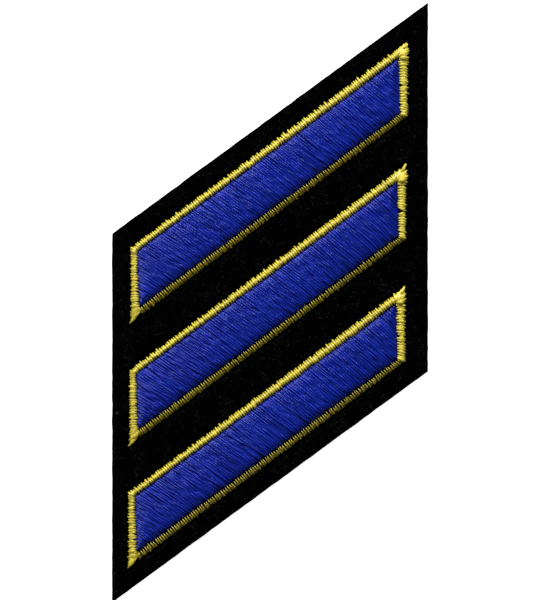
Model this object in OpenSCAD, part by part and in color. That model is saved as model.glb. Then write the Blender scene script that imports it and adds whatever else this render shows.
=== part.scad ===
// Service stripe patch: three embroidered stripes on one piece of felt.
// Lengths are in millimetres. The back of the felt lies on Z = 0, the stripes
// face +Z, +X runs across the sleeve and +Y up it. The origin is the middle
// of the felt's back.

/* [Felt backing] */
// Width between the two upright cut edges
felt_width = 50; // [47:0.5:60]
// Length of each upright cut edge
felt_side = 58.4; // [57:0.2:70]
// Rise of the two slanting cut edges, in degrees
felt_slant = 36.2; // [35:0.1:38]
// Thickness of the felt
felt_thick = 1.6; // [1.2:0.1:3]
// Depth to which the stitching draws the felt down
bed_depth = 0.25; // [0.1:0.05:0.5]

/* [Stripes] */
// Distance between the two upright ends of a stripe
stripe_span = 43.8; // [36:0.2:45]
// Width of a stripe, square to its long sides
stripe_width = 9.6; // [8:0.1:10.5]
// Rise of a stripe's long sides, in degrees
stripe_slant = 36.7; // [36:0.1:37.5]
// Distance from one stripe up to the next
stripe_pitch = 19.4; // [17:0.1:19.8]
// Distance by which each stripe sits to the right of the one below it
stripe_drift = 0.2; // [0:0.05:0.4]
// Distance of the middle stripe to the left of the felt's middle
column_left = 0.35; // [0:0.05:0.5]
// Distance of the middle stripe below the felt's middle
column_down = 0.3; // [0:0.05:0.5]

/* [Blue fill] */
// Height of the fill's crown over the felt
fill_crown = 0.8; // [0.5:0.05:1.2]
// Height of the fill's edges over the felt
fill_edge = 0.15; // [0.05:0.05:0.4]
// Radius of the slight crown across the fill
crown_radius = 22; // [12:1:60]
// Breadth of the strip along each edge that rolls down to the felt
roll_breadth = 1.6; // [1:0.1:2.4]
// Radius of that roll
roll_radius = 3; // [2.5:0.1:5]

/* [Gold border] */
// Height of the border's ridge over the felt
border_ridge = 0.66; // [0.5:0.02:0.8]
// Height over the felt of the border's outer edge
border_outer = 0.05; // [0:0.05:0.2]
// Height over the felt of the border's inner edge
border_inner = 0.2; // [0.1:0.05:0.4]
// Place of the ridge as a share of the way in from the outer edge
ridge_place = 0.86; // [0.6:0.02:0.9]
// Bulge of the slope up to the ridge: 1 is a straight slope
slope_bulge = 1.25; // [1:0.05:2]
// Flat facets across the border
border_facets = 14; // [8:2:24]

/* [Hidden] */
// Gap that keeps one piece clear of the next
gap = 0.06;
// Overhang of a shape that only serves to cut another
spare = 5;
// Facets of a round, and of the fill's very large one
$fn = 96;
crown_facets = 720;

// Steps of each stripe above the middle one, from the top stripe down
STRIPE_STEPS = [1, 0, -1];

// Width of the border along each side of a stripe, a row for each side and
// counterclockwise from the lower left tip. The two sharp corners are the
// broad ones, because the stitches fan out there.
LOWER_SIDE = 0;
RIGHT_END = 1;
UPPER_SIDE = 2;
LEFT_END = 3;
// Columns: width at the side's start, width at its end
START = 0;
END = 1;
BORDER_WIDTHS = [
    [1.25, 1.15], // lower long side
    [1.15, 1.45], // right end
    [1.4, 1.05],  // upper long side
    [1, 1.4]      // left end
];
SIDES = len(BORDER_WIDTHS);

function numbered(part) = [
    for (i = [1:len(STRIPE_STEPS)])
        str("stripe_", i, "_", part)
];
FILL_NODES = numbered("fill");
BORDER_NODES = numbered("border");

bed_floor = felt_thick - bed_depth;

// Corners of a slanted figure with upright ends, counterclockwise from the
// lower left: half its span, half its upright height and its rise.
function slanted(half_span, half_height, rise) = [
    [-half_span, -half_span * tan(rise) - half_height],
    [half_span, half_span * tan(rise) - half_height],
    [half_span, half_span * tan(rise) + half_height],
    [-half_span, -half_span * tan(rise) + half_height]
];

// A stripe's outer corners, moved out by grow on every side
function outline(grow = 0) = slanted(
    stripe_span / 2 + grow,
    (stripe_width / 2 + grow) / cos(stripe_slant),
    stripe_slant
);

// Unit vector square to the side from a to b, to its left
function inward(a, b) = [a.y - b.y, b.x - a.x] / norm(b - a);

// Where the line from a to b meets the line from c to d
function meeting(a, b, c, d) =
    let (along = b - a, other = d - c)
    a + along * cross(c - a, other) / cross(along, other);

// Inner edge of one side of the border, moved in by extra: its two points
function inner_edge(side, extra) =
    let (
        corners = outline(),
        a = corners[side],
        b = corners[(side + 1) % SIDES],
        square = inward(a, b),
        widths = BORDER_WIDTHS[side]
    )
    [a + square * (widths[START] + extra), b + square * (widths[END] + extra)];

// The border's inner corners, moved in by extra
function inner_corners(extra = 0) = [
    for (side = [0:SIDES - 1])
        let (
            before = inner_edge((side + SIDES - 1) % SIDES, extra),
            after = inner_edge(side, extra)
        )
        meeting(before[0], before[1], after[0], after[1])
];

// Section of the border from its outer edge to its inner edge: the share of
// the way across, and the height. A long slope rises to the ridge, and a
// quarter of an oval falls from it.
slope_steps = border_facets / 2;
border_section = concat(
    [[0, bed_floor]],
    [
        for (i = [0:slope_steps])
            let (way = i / slope_steps, rise = 1 - pow(1 - way, slope_bulge))
            [
                ridge_place * way,
                felt_thick + border_outer + (border_ridge - border_outer) * rise
            ]
    ],
    [
        for (i = [1:slope_steps])
            let (turn = 90 * i / slope_steps)
            [
                ridge_place + (1 - ridge_place) * sin(turn),
                felt_thick + border_inner + (border_ridge - border_inner) * cos(turn)
            ]
    ],
    [[1, bed_floor]]
);

module at_stripe(i) {
    step = STRIPE_STEPS[i];
    across = step * stripe_drift - column_left;
    up = step * stripe_pitch - column_down;
    translate([across, up, 0]) children();
}

// Black felt, cut with sharp corners, with a shallow bed under each stripe
module felt_backing() {
    half_height = felt_side / 2;
    color("#0b0c0b")
    difference() {
        linear_extrude(felt_thick)
            polygon(slanted(felt_width / 2, half_height, felt_slant));
        for (i = [0:len(STRIPE_STEPS) - 1])
            at_stripe(i)
                translate([0, 0, bed_floor - gap])
                    linear_extrude(bed_depth + spare)
                        polygon(outline(gap));
    }
}

// Long crown of the fill: one round bar that lies along the stripe
module fill_crown_bar() {
    length = stripe_span / cos(stripe_slant) + 2 * spare;
    translate([0, 0, felt_thick + fill_crown - crown_radius])
        rotate([0, 0, stripe_slant])
            rotate([0, 90, 0])
                cylinder(h = length, r = crown_radius, center = true, $fn = crown_facets);
}

// Bar along X whose two long edges, at low and high in Y, roll down from
// the crown's height to the edge's
module rolled_bar(low, high) {
    rise = fill_crown - fill_edge;
    chord = norm([roll_breadth, rise]);
    to_centre = sqrt(roll_radius * roll_radius - chord * chord / 4);
    back = roll_breadth / 2 + to_centre * rise / chord;
    down = to_centre * roll_breadth / chord - rise / 2;
    length = 2 * (stripe_span + stripe_width);
    rotate([90, 0, 90])
        linear_extrude(length, center = true) {
            translate([low + back, 0])
                square([high - low - 2 * back, felt_thick + fill_crown + spare]);
            for (y = [low + back, high - back])
                translate([y, felt_thick + fill_edge - down])
                    circle(r = roll_radius);
        }
}

// Blue satin fill: nearly flat on top, rolled down all round to its edges
module fill(i) {
    half_width = stripe_width / 2;
    half_span = stripe_span / 2;
    color("#1c2b9c")
    at_stripe(i)
        intersection() {
            translate([0, 0, bed_floor])
                linear_extrude(bed_depth + fill_crown + spare)
                    polygon(inner_corners(gap));
            fill_crown_bar();
            rotate([0, 0, stripe_slant])
                rolled_bar(
                    BORDER_WIDTHS[LOWER_SIDE][END] - half_width,
                    half_width - BORDER_WIDTHS[UPPER_SIDE][END]
                );
            rotate([0, 0, -90])
                rolled_bar(
                    BORDER_WIDTHS[LEFT_END][START] - half_span,
                    half_span - BORDER_WIDTHS[RIGHT_END][START]
                );
        }
}

// Gold satin border: the section carried round the stripe, mitred at the
// four corners
module border(i) {
    outer = outline();
    inner = inner_corners();
    across = len(border_section);
    points = [
        for (side = [0:SIDES - 1])
            for (p = border_section)
                let (spot = outer[side] + (inner[side] - outer[side]) * p[0])
                [spot.x, spot.y, p[1]]
    ];
    faces = [
        for (side = [0:SIDES - 1])
            for (j = [0:across - 1])
                let (
                    here = side * across,
                    next = ((side + 1) % SIDES) * across,
                    up = (j + 1) % across
                )
                for (half = [0, 1])
                    half == 0
                        ? [here + j, here + up, next + up]
                        : [here + j, next + up, next + j]
    ];
    color("#d6c443")
    at_stripe(i)
        polyhedron(points = points, faces = faces, convexity = 6);
}

felt_backing();
for (i = [0:len(STRIPE_STEPS) - 1]) {
    fill(i);
    border(i);
}
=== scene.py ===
# %% [markdown]
# # A service stripe patch
#
# The real object is a slanted piece of black wool felt with three embroidered
# bars on it. Each bar is a field of long blue satin stitches, and a border of
# short gold stitches covers the field's edge.
#
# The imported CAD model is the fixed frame: its solids say where every piece
# lies and how high it stands. This script replaces each solid with the thing
# itself, thread by thread.

# %% Load the frame
import math

import bpy
import numpy as np
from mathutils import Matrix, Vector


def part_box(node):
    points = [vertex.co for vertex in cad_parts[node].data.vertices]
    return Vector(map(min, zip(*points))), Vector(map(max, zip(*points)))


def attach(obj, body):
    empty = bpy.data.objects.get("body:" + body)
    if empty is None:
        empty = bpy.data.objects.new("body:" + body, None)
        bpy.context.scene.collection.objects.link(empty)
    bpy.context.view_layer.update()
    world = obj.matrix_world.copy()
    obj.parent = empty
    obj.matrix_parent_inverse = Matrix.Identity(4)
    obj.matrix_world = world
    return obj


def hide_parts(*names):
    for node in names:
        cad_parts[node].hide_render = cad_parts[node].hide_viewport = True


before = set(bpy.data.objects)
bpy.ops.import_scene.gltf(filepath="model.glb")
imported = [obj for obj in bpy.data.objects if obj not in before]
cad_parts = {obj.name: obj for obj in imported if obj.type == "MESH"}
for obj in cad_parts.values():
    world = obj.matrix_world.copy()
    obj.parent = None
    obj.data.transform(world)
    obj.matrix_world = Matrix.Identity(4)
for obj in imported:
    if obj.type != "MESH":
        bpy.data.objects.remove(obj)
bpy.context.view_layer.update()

# %% [markdown]
# ## Sizes
#
# A craftsperson thinks of a patch in millimetres, and Blender works in metres
# here. So every length below is in millimetres, and only the last step of
# making a mesh scales it. The outlines come from the boxes of the CAD nodes:
# both the felt and the stripes are slanted figures with upright ends, so a box
# and a slope give all four corners.

# %% Outlines of the felt and the stripes
MM = 0.001
STRIPES = (1, 2, 3)
FELT_RISE = math.tan(math.radians(36.2))
STRIPE_SLANT = math.radians(36.7)
STRIPE_RISE = math.tan(STRIPE_SLANT)


def box_in_mm(node):
    """Lowest and highest corner of a CAD node."""
    low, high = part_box(node)
    return np.array(low) / MM, np.array(high) / MM


def slanted_corners(low, high, rise):
    """Corners of the slanted figure in a box, from the lower left and round."""
    centre = (low + high)[:2] / 2
    half_span = (high[0] - low[0]) / 2
    half_height = (high[1] - low[1]) / 2 - half_span * rise
    signs = ((-1, -1), (1, -1), (1, 1), (-1, 1))
    return np.array([
        centre + (a * half_span, a * half_span * rise + b * half_height)
        for a, b in signs
    ])


felt_low, felt_high = box_in_mm("felt_backing")
FELT_TOP = felt_high[2]
felt_outline = slanted_corners(felt_low, felt_high, FELT_RISE)
stripe_outlines = {
    n: slanted_corners(*box_in_mm(f"stripe_{n}_border"), STRIPE_RISE)
    for n in STRIPES
}
print("felt corners in mm:", felt_outline.round(2).tolist())

# %% [markdown]
# ## The border's inner edge
#
# The gold border isn't equally wide all round: it swells at the two sharp
# tips, where the stitches fan out. A short table gives its width at the start
# and the end of each side, going round from the lower left tip, and the inner
# corners are where the inner edges of two neighbouring sides meet.

# %% Inner corners of a stripe's border
SIDES = LOWER_SIDE, RIGHT_END, UPPER_SIDE, LEFT_END = range(4)
BORDER_WIDTHS = {
    LOWER_SIDE: (1.25, 1.15),
    RIGHT_END: (1.15, 1.45),
    UPPER_SIDE: (1.4, 1.05),
    LEFT_END: (1.0, 1.4),
}


def cross(a, b):
    return a[..., 0] * b[..., 1] - a[..., 1] * b[..., 0]


def side_frame(corners, side):
    """Start, direction, inward direction and length of one side."""
    start, end = corners[side], corners[(side + 1) % len(SIDES)]
    length = np.linalg.norm(end - start)
    along = (end - start) / length
    return start, along, np.array((-along[1], along[0])), length


def inner_corners(outline):
    """Where the border's inner edges meet, in the order of the outline."""
    edges = []
    for side, (at_start, at_end) in BORDER_WIDTHS.items():
        start, along, inward, length = side_frame(outline, side)
        first = start + inward * at_start
        last = start + along * length + inward * at_end
        edges.append((first, last - first))
    corners = []
    for side, (here, ahead) in enumerate(edges):
        there, other = edges[side - 1]
        share = cross(there - here, other) / cross(ahead, other)
        corners.append(here + ahead * share)
    return np.array(corners)


inner_outlines = {n: inner_corners(stripe_outlines[n]) for n in STRIPES}
print("inner corners of stripe 1:", inner_outlines[1].round(2).tolist())

# %% [markdown]
# ## Camera
#
# The photograph was taken from straight above and shows no perspective, as a
# flatbed scanner would. A long lens from far away gives the same view. The
# picture is 600 pixels high and the felt is 316 pixels wide in it, which fixes
# the height of the view.

# %% Camera straight above the patch
PICTURE_HEIGHT = 600
FELT_PIXELS = 316
PIXELS_BELOW_MIDDLE = 2.5
CAMERA_DISTANCE = 900
SENSOR_WIDTH = 36
scene = bpy.context.scene


def add_object(name, data):
    """A new object in the scene."""
    made = bpy.data.objects.new(name, data)
    scene.collection.objects.link(made)
    return made


mm_per_pixel = (felt_high[0] - felt_low[0]) / FELT_PIXELS
view_height = PICTURE_HEIGHT * mm_per_pixel
camera_data = bpy.data.cameras.new("camera")
camera_data.sensor_width = SENSOR_WIDTH
camera_data.lens = SENSOR_WIDTH * CAMERA_DISTANCE / view_height
camera = add_object("camera", camera_data)
camera.location = (
    0,
    PIXELS_BELOW_MIDDLE * mm_per_pixel * MM,
    (FELT_TOP + CAMERA_DISTANCE) * MM,
)
scene.camera = camera
scene.view_settings.view_transform = "Standard"
print("lens:", round(camera_data.lens, 1), "mm")
print("height of the view:", round(view_height, 2), "mm")

# %% [markdown]
# ## Light
#
# In the photograph the upper slope of every gold border is bright and the
# lower slope is dark, so one broad light stands beyond the top edge, a little
# to the left. A long softbox does that: it is wide from left to right, which
# keeps the sheen of the thread even, and narrow in height, which keeps the
# relief crisp. A dim grey world fills the shadows.

# %% Softbox and fill
LIGHT_HEADING = math.radians(100)
LIGHT_HEIGHT = math.radians(32)
LIGHT_SIZE = (1.6, 0.3)
LIGHT_ENERGY = 20
FILL_LIGHT = 0.1
WHITE = (1, 1, 1, 1)
light_data = bpy.data.lights.new("softbox", "AREA")
light_data.shape = "RECTANGLE"
light_data.size, light_data.size_y = LIGHT_SIZE
light_data.energy = LIGHT_ENERGY
softbox = add_object("softbox", light_data)
softbox.location = (
    math.cos(LIGHT_HEIGHT) * math.cos(LIGHT_HEADING),
    math.cos(LIGHT_HEIGHT) * math.sin(LIGHT_HEADING),
    math.sin(LIGHT_HEIGHT),
)
softbox.rotation_euler = (
    math.pi / 2 - LIGHT_HEIGHT, 0, LIGHT_HEADING + math.pi / 2
)

world = bpy.data.worlds.new("studio")
world.use_nodes = True
background = world.node_tree.nodes["Background"]
background.inputs["Color"].default_value = WHITE
background.inputs["Strength"].default_value = FILL_LIGHT
scene.world = world
print("softbox at", [round(x, 2) for x in softbox.location])

# %% [markdown]
# ## Meshes from arrays
#
# One stripe has some six hundred gold stitches and several hundred blue ones.
# Making each of them as an object would be slow and hard to reuse, so all the
# threads of one piece are worked out together as arrays and become one mesh.
#
# Every point also carries a small record named `strand`: how far round the
# thread it is, how far along, and a random number of its thread, its tint. The
# materials read it to draw the twist and to dye each thread a little apart.

# %% One mesh object from points and faces
AROUND, ALONG, TINT = range(3)
PLAIN_STRAND = (0, 0, 0.5)


def new_piece(name, points, face_groups, material, strand=None):
    """A mesh object: points in millimetres, faces in groups of equal size."""
    mesh = bpy.data.meshes.new(name)
    corners = np.concatenate([group.ravel() for group in face_groups])
    sizes = np.concatenate(
        [np.full(len(group), group.shape[1]) for group in face_groups]
    )
    mesh.vertices.add(len(points))
    mesh.vertices.foreach_set("co", (points * MM).ravel())
    mesh.loops.add(len(corners))
    mesh.loops.foreach_set("vertex_index", corners)
    mesh.polygons.add(len(sizes))
    mesh.polygons.foreach_set("loop_start", np.cumsum(sizes) - sizes)
    mesh.update(calc_edges=True)
    mesh.validate()
    mesh.shade_smooth()
    values = mesh.attributes.new("strand", "FLOAT_VECTOR", "POINT")
    if strand is None:
        strand = np.tile(PLAIN_STRAND, (len(points), 1))
    values.data.foreach_set("vector", strand.ravel())
    mesh.materials.append(material)
    triangles = int((sizes - 2).sum())
    print(f"{name}: {triangles} triangles")
    return add_object(name, mesh)


# %% [markdown]
# ## A thread
#
# Embroidery thread is two yarns twisted together, and it lies on the cloth
# slightly flattened. Here it is a closed tube along a path. The tube's section
# is an ellipse whose radius swells twice in each round, for the two yarns, and
# the swelling turns as it goes along, for the twist.

# %% Closed tubes along many paths
# A thread that dives straight down has no heading there, so this much of its
# overall heading is always added
OVERALL_SHARE = 0.3
# Each thread starts at a random place on this length of twist
TWIST_LENGTH = 20


def unit(vectors):
    """The same vectors with length 1."""
    return vectors / np.linalg.norm(vectors, axis=-1, keepdims=True)


def lay_strands(paths, half_width, half_height, sides, rng, turn=1.3, lobe=0):
    """Tubes along paths[strand, point]: points, face groups, strand values.

    turn is the length of one turn of the twist, and lobe is how far the two
    yarns stand out, as a share of the radius.
    """
    count, length = paths.shape[:2]
    tangent = unit(np.gradient(paths, axis=1))
    overall = unit(paths[:, -1:, :2] - paths[:, :1, :2])
    heading = unit(tangent[..., :2] + OVERALL_SHARE * overall)
    across = np.zeros_like(paths)
    across[..., 0], across[..., 1] = -heading[..., 1], heading[..., 0]
    up = unit(np.cross(tangent, across))

    gone = np.linalg.norm(np.diff(paths, axis=1), axis=2).cumsum(axis=1)
    gone = np.concatenate([np.zeros((count, 1)), gone], axis=1)
    gone = gone + rng.uniform(0, TWIST_LENGTH, (count, 1))
    share = np.arange(sides) / sides
    angle = 2 * np.pi * share - np.pi / 2
    swell = 1 + lobe * np.cos(2 * (angle - 2 * np.pi * gone[..., None] / turn))
    wide = np.broadcast_to(half_width, (count, length))[..., None]
    high = np.broadcast_to(half_height, (count, length))[..., None]
    points = (
        paths[:, :, None]
        + across[:, :, None] * (wide * swell * np.cos(angle))[..., None]
        + up[:, :, None] * (high * swell * np.sin(angle))[..., None]
    )

    index = np.arange(count * length * sides).reshape(count, length, sides)
    ahead = np.roll(index, -1, axis=2)
    walls = np.stack(
        [index[:, :-1], ahead[:, :-1], ahead[:, 1:], index[:, 1:]], axis=-1
    )
    faces = [walls.reshape(-1, 4), index[:, 0, ::-1], index[:, -1]]
    strand = np.empty((count, length, sides, 3))
    strand[..., AROUND] = share
    strand[..., ALONG] = gone[..., None]
    strand[..., TINT] = rng.uniform(0, 1, (count, 1, 1))
    return points.reshape(-1, 3), faces, strand.reshape(-1, 3)


def join_parts(parts):
    """Several (points, faces, strand) as one."""
    faces, start = [], 0
    for points, groups, _ in parts:
        faces += [group + start for group in groups]
        start += len(points)
    points = np.concatenate([part[0] for part in parts])
    strand = np.concatenate([part[2] for part in parts])
    return points, faces, strand


straight = np.linspace((0, 0, 0), (10, 0, 0), 5)[None]
points, _, _ = lay_strands(straight, 0.2, 0.1, 8, np.random.default_rng(0))
print("a straight thread reaches from", points.min(axis=0).round(2).tolist())
print("to", points.max(axis=0).round(2).tolist())

# %% [markdown]
# ## Handmade unevenness
#
# Nothing on a stitched patch is quite regular, but nothing is pure noise
# either: neighbouring stitches bunch and lean together. Sums of a few sine
# waves with random lengths give such slow, smooth changes, and a fixed seed
# gives the same ones on every run.

# %% Smooth random waves
def wander(rng, where, shortest, longest, waves=12):
    """Smooth random numbers along a line, with a standard deviation of 1."""
    lengths = np.exp(rng.uniform(np.log(shortest), np.log(longest), waves))
    phases = rng.uniform(0, 2 * np.pi, waves)
    turns = 2 * np.pi * np.asarray(where)[..., None] / lengths + phases
    return np.sin(turns).sum(axis=-1) * math.sqrt(2 / waves)


def ripple(rng, x, y, shortest, longest, waves=24):
    """The same over a surface."""
    lengths = np.exp(rng.uniform(np.log(shortest), np.log(longest), waves))
    headings, phases = rng.uniform(0, 2 * np.pi, (2, waves))
    way = x[..., None] * np.cos(headings) + y[..., None] * np.sin(headings)
    turns = 2 * np.pi * way / lengths + phases
    return np.sin(turns).sum(axis=-1) * math.sqrt(2 / waves)


sample = wander(np.random.default_rng(0), np.arange(0, 99, 0.1), 1, 3)
print("standard deviation of a sample:", sample.std().round(2))

# %% [markdown]
# ## Node helpers
#
# Materials are built as node trees in code. A few small functions keep that
# readable: they add a node and fill or link its inputs, and they start a node
# group with named inputs and outputs, to be used by several materials.

# %% Add a node, start a group
def fill_inputs(node, inputs):
    """Gives each input a value, or a link if given a socket."""
    for name, value in inputs.items():
        if isinstance(value, bpy.types.NodeSocket):
            node.id_data.links.new(value, node.inputs[name])
        else:
            node.inputs[name].default_value = value


def add_node(tree, kind, inputs, **settings):
    """Adds a shader node with its settings and inputs."""
    node = tree.nodes.new("ShaderNode" + kind)
    for name, value in settings.items():
        setattr(node, name, value)
    fill_inputs(node, inputs)
    return node


def math_node(tree, operation, *values):
    """The result of a Math node."""
    inputs = dict(enumerate(values))
    return add_node(tree, "Math", inputs, operation=operation).outputs[0]


def scale_node(tree, vector, factor):
    """A colour or a place, times a number."""
    inputs = {0: vector, "Scale": factor}
    node = add_node(tree, "VectorMath", inputs, operation="SCALE")
    return node.outputs[0]


def noise_node(tree, place, scale, detail, distortion=0):
    """The value of a noise."""
    return add_node(tree, "TexNoise", {
        "Vector": place,
        "Scale": scale,
        "Detail": detail,
        "Distortion": distortion,
    }).outputs["Fac"]


def start_group(name, inputs, outputs):
    """A node group with its named sockets, its inputs and its outputs."""
    group = bpy.data.node_groups.new(name, "ShaderNodeTree")
    for label, kind, value in inputs:
        socket = group.interface.new_socket(
            label, in_out="INPUT", socket_type="NodeSocket" + kind
        )
        socket.default_value = value
    for label, kind in outputs:
        group.interface.new_socket(
            label, in_out="OUTPUT", socket_type="NodeSocket" + kind
        )
    return (
        group,
        group.nodes.new("NodeGroupInput").outputs,
        group.nodes.new("NodeGroupOutput").inputs,
    )


def strand_values(tree):
    """How far round the thread, how far along it, and its tint."""
    values = add_node(tree, "Attribute", {}, attribute_name="strand")
    record = {"Vector": values.outputs["Vector"]}
    return add_node(tree, "SeparateXYZ", record).outputs


# %% [markdown]
# ## Thread twist, a group for all the threads
#
# Close up, a twisted thread shows a slanting groove between its two yarns and
# the fine filaments that each yarn is spun from. Both are too small to model,
# so a group works them out from the strand record: a sine wave that winds
# round the thread, and a noise drawn out along it. It puts out a height for
# bump and a painted shade, which darkens the colour in the grooves and between
# the filaments.

# %% Thread twist
# How round the yarns are: 1 is a plain sine wave
YARN_SHAPE = 0.7
# Filaments round the thread, changes of them in a millimetre along it, and
# their share of the relief
FILAMENTS_ROUND = 26
FILAMENTS_ALONG = 1.5
FILAMENT_SHARE = 0.35
# How far apart in the noise two threads are
THREADS_APART = 60

twist_group, given, result = start_group(
    "Thread twist",
    [("Turn", "Float", 1.3), ("Groove shade", "Float", 0.4)],
    [("Height", "Float"), ("Shade", "Float")],
)
tree = twist_group
around, along, tint = strand_values(tree)
turns = math_node(tree, "DIVIDE", along, given["Turn"])
winding = math_node(tree, "ADD", around, turns)
angle = math_node(tree, "MULTIPLY", winding, 2 * math.pi)
wave = math_node(tree, "ABSOLUTE", math_node(tree, "SINE", angle))
yarns = math_node(tree, "POWER", wave, YARN_SHAPE)
filament_place = add_node(tree, "CombineXYZ", {
    "X": math_node(tree, "MULTIPLY", winding, FILAMENTS_ROUND),
    "Y": math_node(tree, "MULTIPLY", along, FILAMENTS_ALONG),
    "Z": math_node(tree, "MULTIPLY", tint, THREADS_APART),
})
filaments = noise_node(tree, filament_place.outputs["Vector"], 1, detail=2)
height = math_node(
    tree, "MULTIPLY_ADD", filaments, FILAMENT_SHARE,
    math_node(tree, "MULTIPLY", yarns, 1 - FILAMENT_SHARE),
)
# Painted shade: the lower the height, the darker the colour
low_share = math_node(tree, "SUBTRACT", 1, height)
darker = math_node(tree, "MULTIPLY", low_share, given["Groove shade"])
shade = math_node(tree, "SUBTRACT", 1, darker)
tree.links.new(height, result["Height"])
tree.links.new(shade, result["Shade"])
print("group:", twist_group.name)

# %% [markdown]
# ## Dye variation, a group for thread and wool
#
# Dyed stock is never one flat colour: it takes the dye in soft patches, and
# one thread comes from another part of the cone than the next. The group
# scales a colour by a slow noise, whose patches have a size in millimetres,
# and by each thread's tint.

# %% Dye variation
def spread_node(tree, value, spread):
    """A value from 0 to 1, as a change of up to half the spread either way."""
    change = math_node(tree, "SUBTRACT", value, 0.5)
    return math_node(tree, "MULTIPLY", change, spread)


dye_group, given, result = start_group(
    "Dye variation",
    [
        ("Color", "Color", (1, 1, 1, 1)),
        ("Patch", "Float", 4),
        ("Patch spread", "Float", 0.1),
        ("Thread spread", "Float", 0.1),
    ],
    [("Color", "Color")],
)
tree = dye_group
patch_scale = math_node(tree, "DIVIDE", 1 / MM, given["Patch"])
place = add_node(tree, "TexCoord", {}).outputs["Object"]
patches = noise_node(tree, scale_node(tree, place, patch_scale), 1, detail=3)
patch_part = spread_node(tree, patches, given["Patch spread"])
tint = strand_values(tree)[TINT]
thread_part = spread_node(tree, tint, given["Thread spread"])
both = math_node(tree, "ADD", patch_part, thread_part)
both = math_node(tree, "MULTIPLY", both, 2)
dyed = scale_node(tree, given["Color"], math_node(tree, "ADD", both, 1))
tree.links.new(dyed, result["Color"])
print("group:", dye_group.name)

# %% [markdown]
# ## Rayon thread
#
# Both threads are rayon, which has a silky sheen: a fairly smooth surface with
# a soft highlight along each thread. One recipe serves both, with its own
# colour and numbers for the gold and the blue.

# %% Gold and blue thread
TWIST_RELIEF = 0.045
RAYON_IOR = 1.5


def new_material(name):
    """An empty material, its node tree and its Principled shader."""
    material = bpy.data.materials.new(name)
    material.use_nodes = True
    tree = material.node_tree
    return material, tree, tree.nodes["Principled BSDF"]


def thread_material(
    name, color, groove_shade, relief, roughness, gloss, patch_spread, thread_spread
):
    """Thread of one colour. groove_shade is painted shade in the twist's
    grooves, and relief is the depth of its bump.
    """
    material, tree, shader = new_material(name)
    twist = add_node(
        tree, "Group", {"Groove shade": groove_shade}, node_tree=twist_group
    ).outputs
    dye = add_node(tree, "Group", {
        "Color": (*color, 1),
        "Patch spread": patch_spread,
        "Thread spread": thread_spread,
    }, node_tree=dye_group)
    bump = add_node(tree, "Bump", {
        "Height": twist["Height"],
        "Strength": relief,
        "Distance": TWIST_RELIEF * MM,
    })
    fill_inputs(shader, {
        "Base Color": scale_node(tree, dye.outputs["Color"], twist["Shade"]),
        "Normal": bump.outputs["Normal"],
        "Roughness": roughness,
        "IOR": RAYON_IOR,
        "Specular IOR Level": gloss,
    })
    print("material:", name, color)
    return material


gold_thread = thread_material(
    "gold thread", (0.745, 0.622, 0.045), groove_shade=0.35, relief=0.8,
    roughness=0.36, gloss=0.9, patch_spread=0.12, thread_spread=0.14,
)
blue_thread = thread_material(
    "blue thread", (0.0062, 0.0225, 0.37), groove_shade=0.35, relief=0.45,
    roughness=0.26, gloss=0.25, patch_spread=0.15, thread_spread=0.22,
)

# %% [markdown]
# ## Gold stitches: where they start and end
#
# A satin border is one thread that crosses the border, dives through the
# felt, and comes back a stitch further on. On a straight run the stitches lie
# square to the edge. At a corner the outer edge is longer than the inner one,
# so the inner ends crowd together and the stitches fan out.
#
# Each stitch has two places, both measured along the side: one of its outer
# end and one of its inner end. The inner place is the outer one, pushed on by
# the corner. A blunt corner pushes by less and less away from it. A sharp one
# has a foot, the hollow where the inner edges meet, and lets no inner end come
# nearer than that, so all the stitches of its fan start from there.
#
# On the first and the third stripe the hollow of the upper right tip lies a
# little nearer the tip than the inner corner of the CAD solid, as in the
# photograph. The lower left tip is worked differently: the stitches of the
# left end go on over it and slant more and more, and the lower side only
# starts beyond them.

# %% Places of the stitches along one side
# Distance between stitches at a side's start, along it and at its end
STITCH_PITCH = {
    LOWER_SIDE: (0.42, 0.42, 0.42),
    RIGHT_END: (0.44, 0.46, 0.36),
    UPPER_SIDE: (0.33, 0.41, 0.42),
    LEFT_END: (0.42, 0.44, 0.42),
}
PITCH_REACH = 1.5
# Distance of the first and the last stitch from the corner
END_MARGIN = 0.08
# Where each side's stitches start: the lower side's leave out the tip
FIRST_PLACE = {LOWER_SIDE: 2.3, RIGHT_END: 0, UPPER_SIDE: 0, LEFT_END: 0}
# How far in from the lower side the last stitches of the left end stop
KNOB_INSET = 0.55
# How much higher the fan's hollow is than the inner corner on each stripe, and
# over which length of the upper side this is made up
HOLLOW_RISE = {1: 0.3, 2: 0.0, 3: 0.25}
HOLLOW_REACH = 8


def nearness(distance, reach):
    """1 at a place, and less and less away from it."""
    return np.exp(-distance / reach)


def blunt_push(distance, foot, reach):
    """How far inner ends are pushed on by a blunt corner."""
    return foot * nearness(distance, reach)


def sharp_push(distance, foot, softness):
    """The same at a sharp corner: none comes nearer to it than its foot."""
    beyond = softness * np.log1p(np.exp((distance - foot) / softness))
    return foot - distance + beyond


# The push at each side's start and end, and its reach or softness
PUSHES = {
    LOWER_SIDE: ((blunt_push, 0.8), (blunt_push, 1.2)),
    RIGHT_END: ((blunt_push, 4.0), (sharp_push, 0.3)),
    UPPER_SIDE: ((sharp_push, 0.3), (blunt_push, 1.2)),
    LEFT_END: ((blunt_push, 1.8), (sharp_push, 0.6)),
}


def outer_places(side, length):
    """Places of the outer ends along a side."""
    at_start, between, at_end = STITCH_PITCH[side]
    first = FIRST_PLACE[side]
    places = [first]
    while places[-1] < length:
        places.append(
            places[-1] + between
            + (at_start - between) * nearness(places[-1], PITCH_REACH)
            + (at_end - between) * nearness(length - places[-1], PITCH_REACH)
        )
    places = (np.array(places) - first) / (places[-1] - first)
    return first + END_MARGIN + (length - first - 2 * END_MARGIN) * places


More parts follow.
